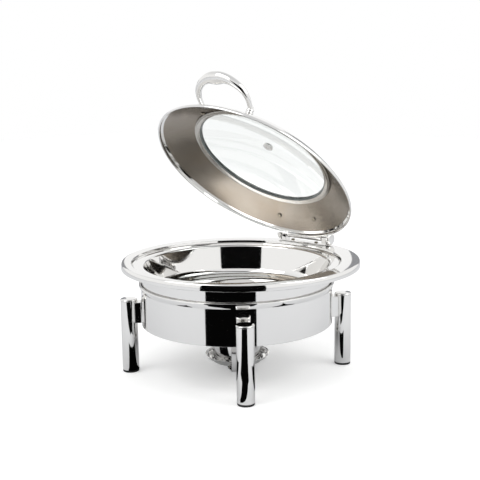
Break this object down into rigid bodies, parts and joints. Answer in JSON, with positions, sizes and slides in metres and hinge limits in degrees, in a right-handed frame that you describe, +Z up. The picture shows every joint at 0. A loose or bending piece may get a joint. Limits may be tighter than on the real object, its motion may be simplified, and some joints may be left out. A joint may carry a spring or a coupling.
{
  "type": "chafing dish food warmer",
  "caption": "Round polished steel chafing dish: ring stand on tube legs, wide-rimmed water pan, food pan, hinged domed lid with glass window and handle, fuel burner in a tray below.",
  "frame": {"origin": "on the table, under the centre of the rim's outer circle", "axes": "+Z up, +Y towards the hinge at the back, +X to the right seen from the front"},
  "size_m": [0.4576, 0.4584, 0.5684],
  "materials": {
    "polished_steel": "polished",
    "satin_steel": "satin",
    "foot_rubber": "matte",
    "gasket_silicone": "satin",
    "window_glass": "gloss"
  },
  "bodies": {
    "stand": {"stand_ring": "polished_steel", "leg_tube_front_right": "polished_steel", "leg_tube_rear_right": "polished_steel", "leg_tube_rear_left": "polished_steel", "leg_tube_front_left": "polished_steel", "leg_cap_front_right": "polished_steel", "leg_cap_rear_right": "polished_steel", "leg_cap_rear_left": "polished_steel", "leg_cap_front_left": "polished_steel", "leg_foot_front_right": "foot_rubber", "leg_foot_rear_right": "foot_rubber", "leg_foot_rear_left": "foot_rubber", "leg_foot_front_left": "foot_rubber", "leg_block_front_right": "satin_steel", "leg_block_rear_right": "satin_steel", "leg_block_rear_left": "satin_steel", "leg_block_front_left": "satin_steel", "leg_bolt_front_right": "satin_steel", "leg_bolt_rear_right": "satin_steel", "leg_bolt_rear_left": "satin_steel", "leg_bolt_front_left": "satin_steel", "burner_hanger": "satin_steel", "hanger_screw_front_right": "satin_steel", "hanger_screw_rear_left": "satin_steel", "burner_tray": "polished_steel", "tray_screw": "satin_steel", "tray_nut": "satin_steel"},
    "water_pan": {"water_pan": "polished_steel", "hinge_base": "polished_steel", "hinge_screw_left": "satin_steel", "hinge_screw_right": "satin_steel", "hinge_pin": "satin_steel", "hinge_disc_left": "polished_steel", "hinge_disc_right": "polished_steel"},
    "food_pan": {"food_pan": "polished_steel"},
    "lid": {"lid_shell": "polished_steel", "lid_window": "window_glass", "window_gasket": "gasket_silicone", "window_ring": "satin_steel", "steam_vent": "polished_steel", "hinge_leaf": "polished_steel", "leaf_rivet_left": "polished_steel", "leaf_rivet_right": "polished_steel", "lid_handle": "polished_steel", "handle_collar_left": "polished_steel", "handle_collar_right": "polished_steel", "handle_screw_left": "satin_steel", "handle_screw_right": "satin_steel"},
    "burner": {"burner_cup": "satin_steel", "burner_cover": "satin_steel", "damper_pivot": "satin_steel"},
    "damper": {"burner_damper": "satin_steel", "damper_knob": "satin_steel"}
  },
  "joints": [
    {"name": "pan_lift", "type": "slide", "parent": "stand", "child": "water_pan", "axis": [0, 0, 1], "range_m": [0, 0.12]},
    {"name": "food_pan_lift", "type": "slide", "parent": "water_pan", "child": "food_pan", "axis": [0, 0, 1], "range_m": [0, 0.018]},
    {"name": "lid_hinge", "type": "hinge", "parent": "water_pan", "child": "lid", "pos_m": [0, 0.2082, 0.228], "axis": [-1, 0, 0], "range_deg": [-42.7, 42.3]},
    {"name": "burner_lift", "type": "slide", "parent": "stand", "child": "burner", "axis": [0, 0, 1], "range_m": [0, 0.018]},
    {"name": "damper_swivel", "type": "hinge", "parent": "burner", "child": "damper", "pos_m": [-0.02546, -0.03846, 0.0844], "axis": [0, 0, 1], "range_deg": [0, 110]}
  ]
}
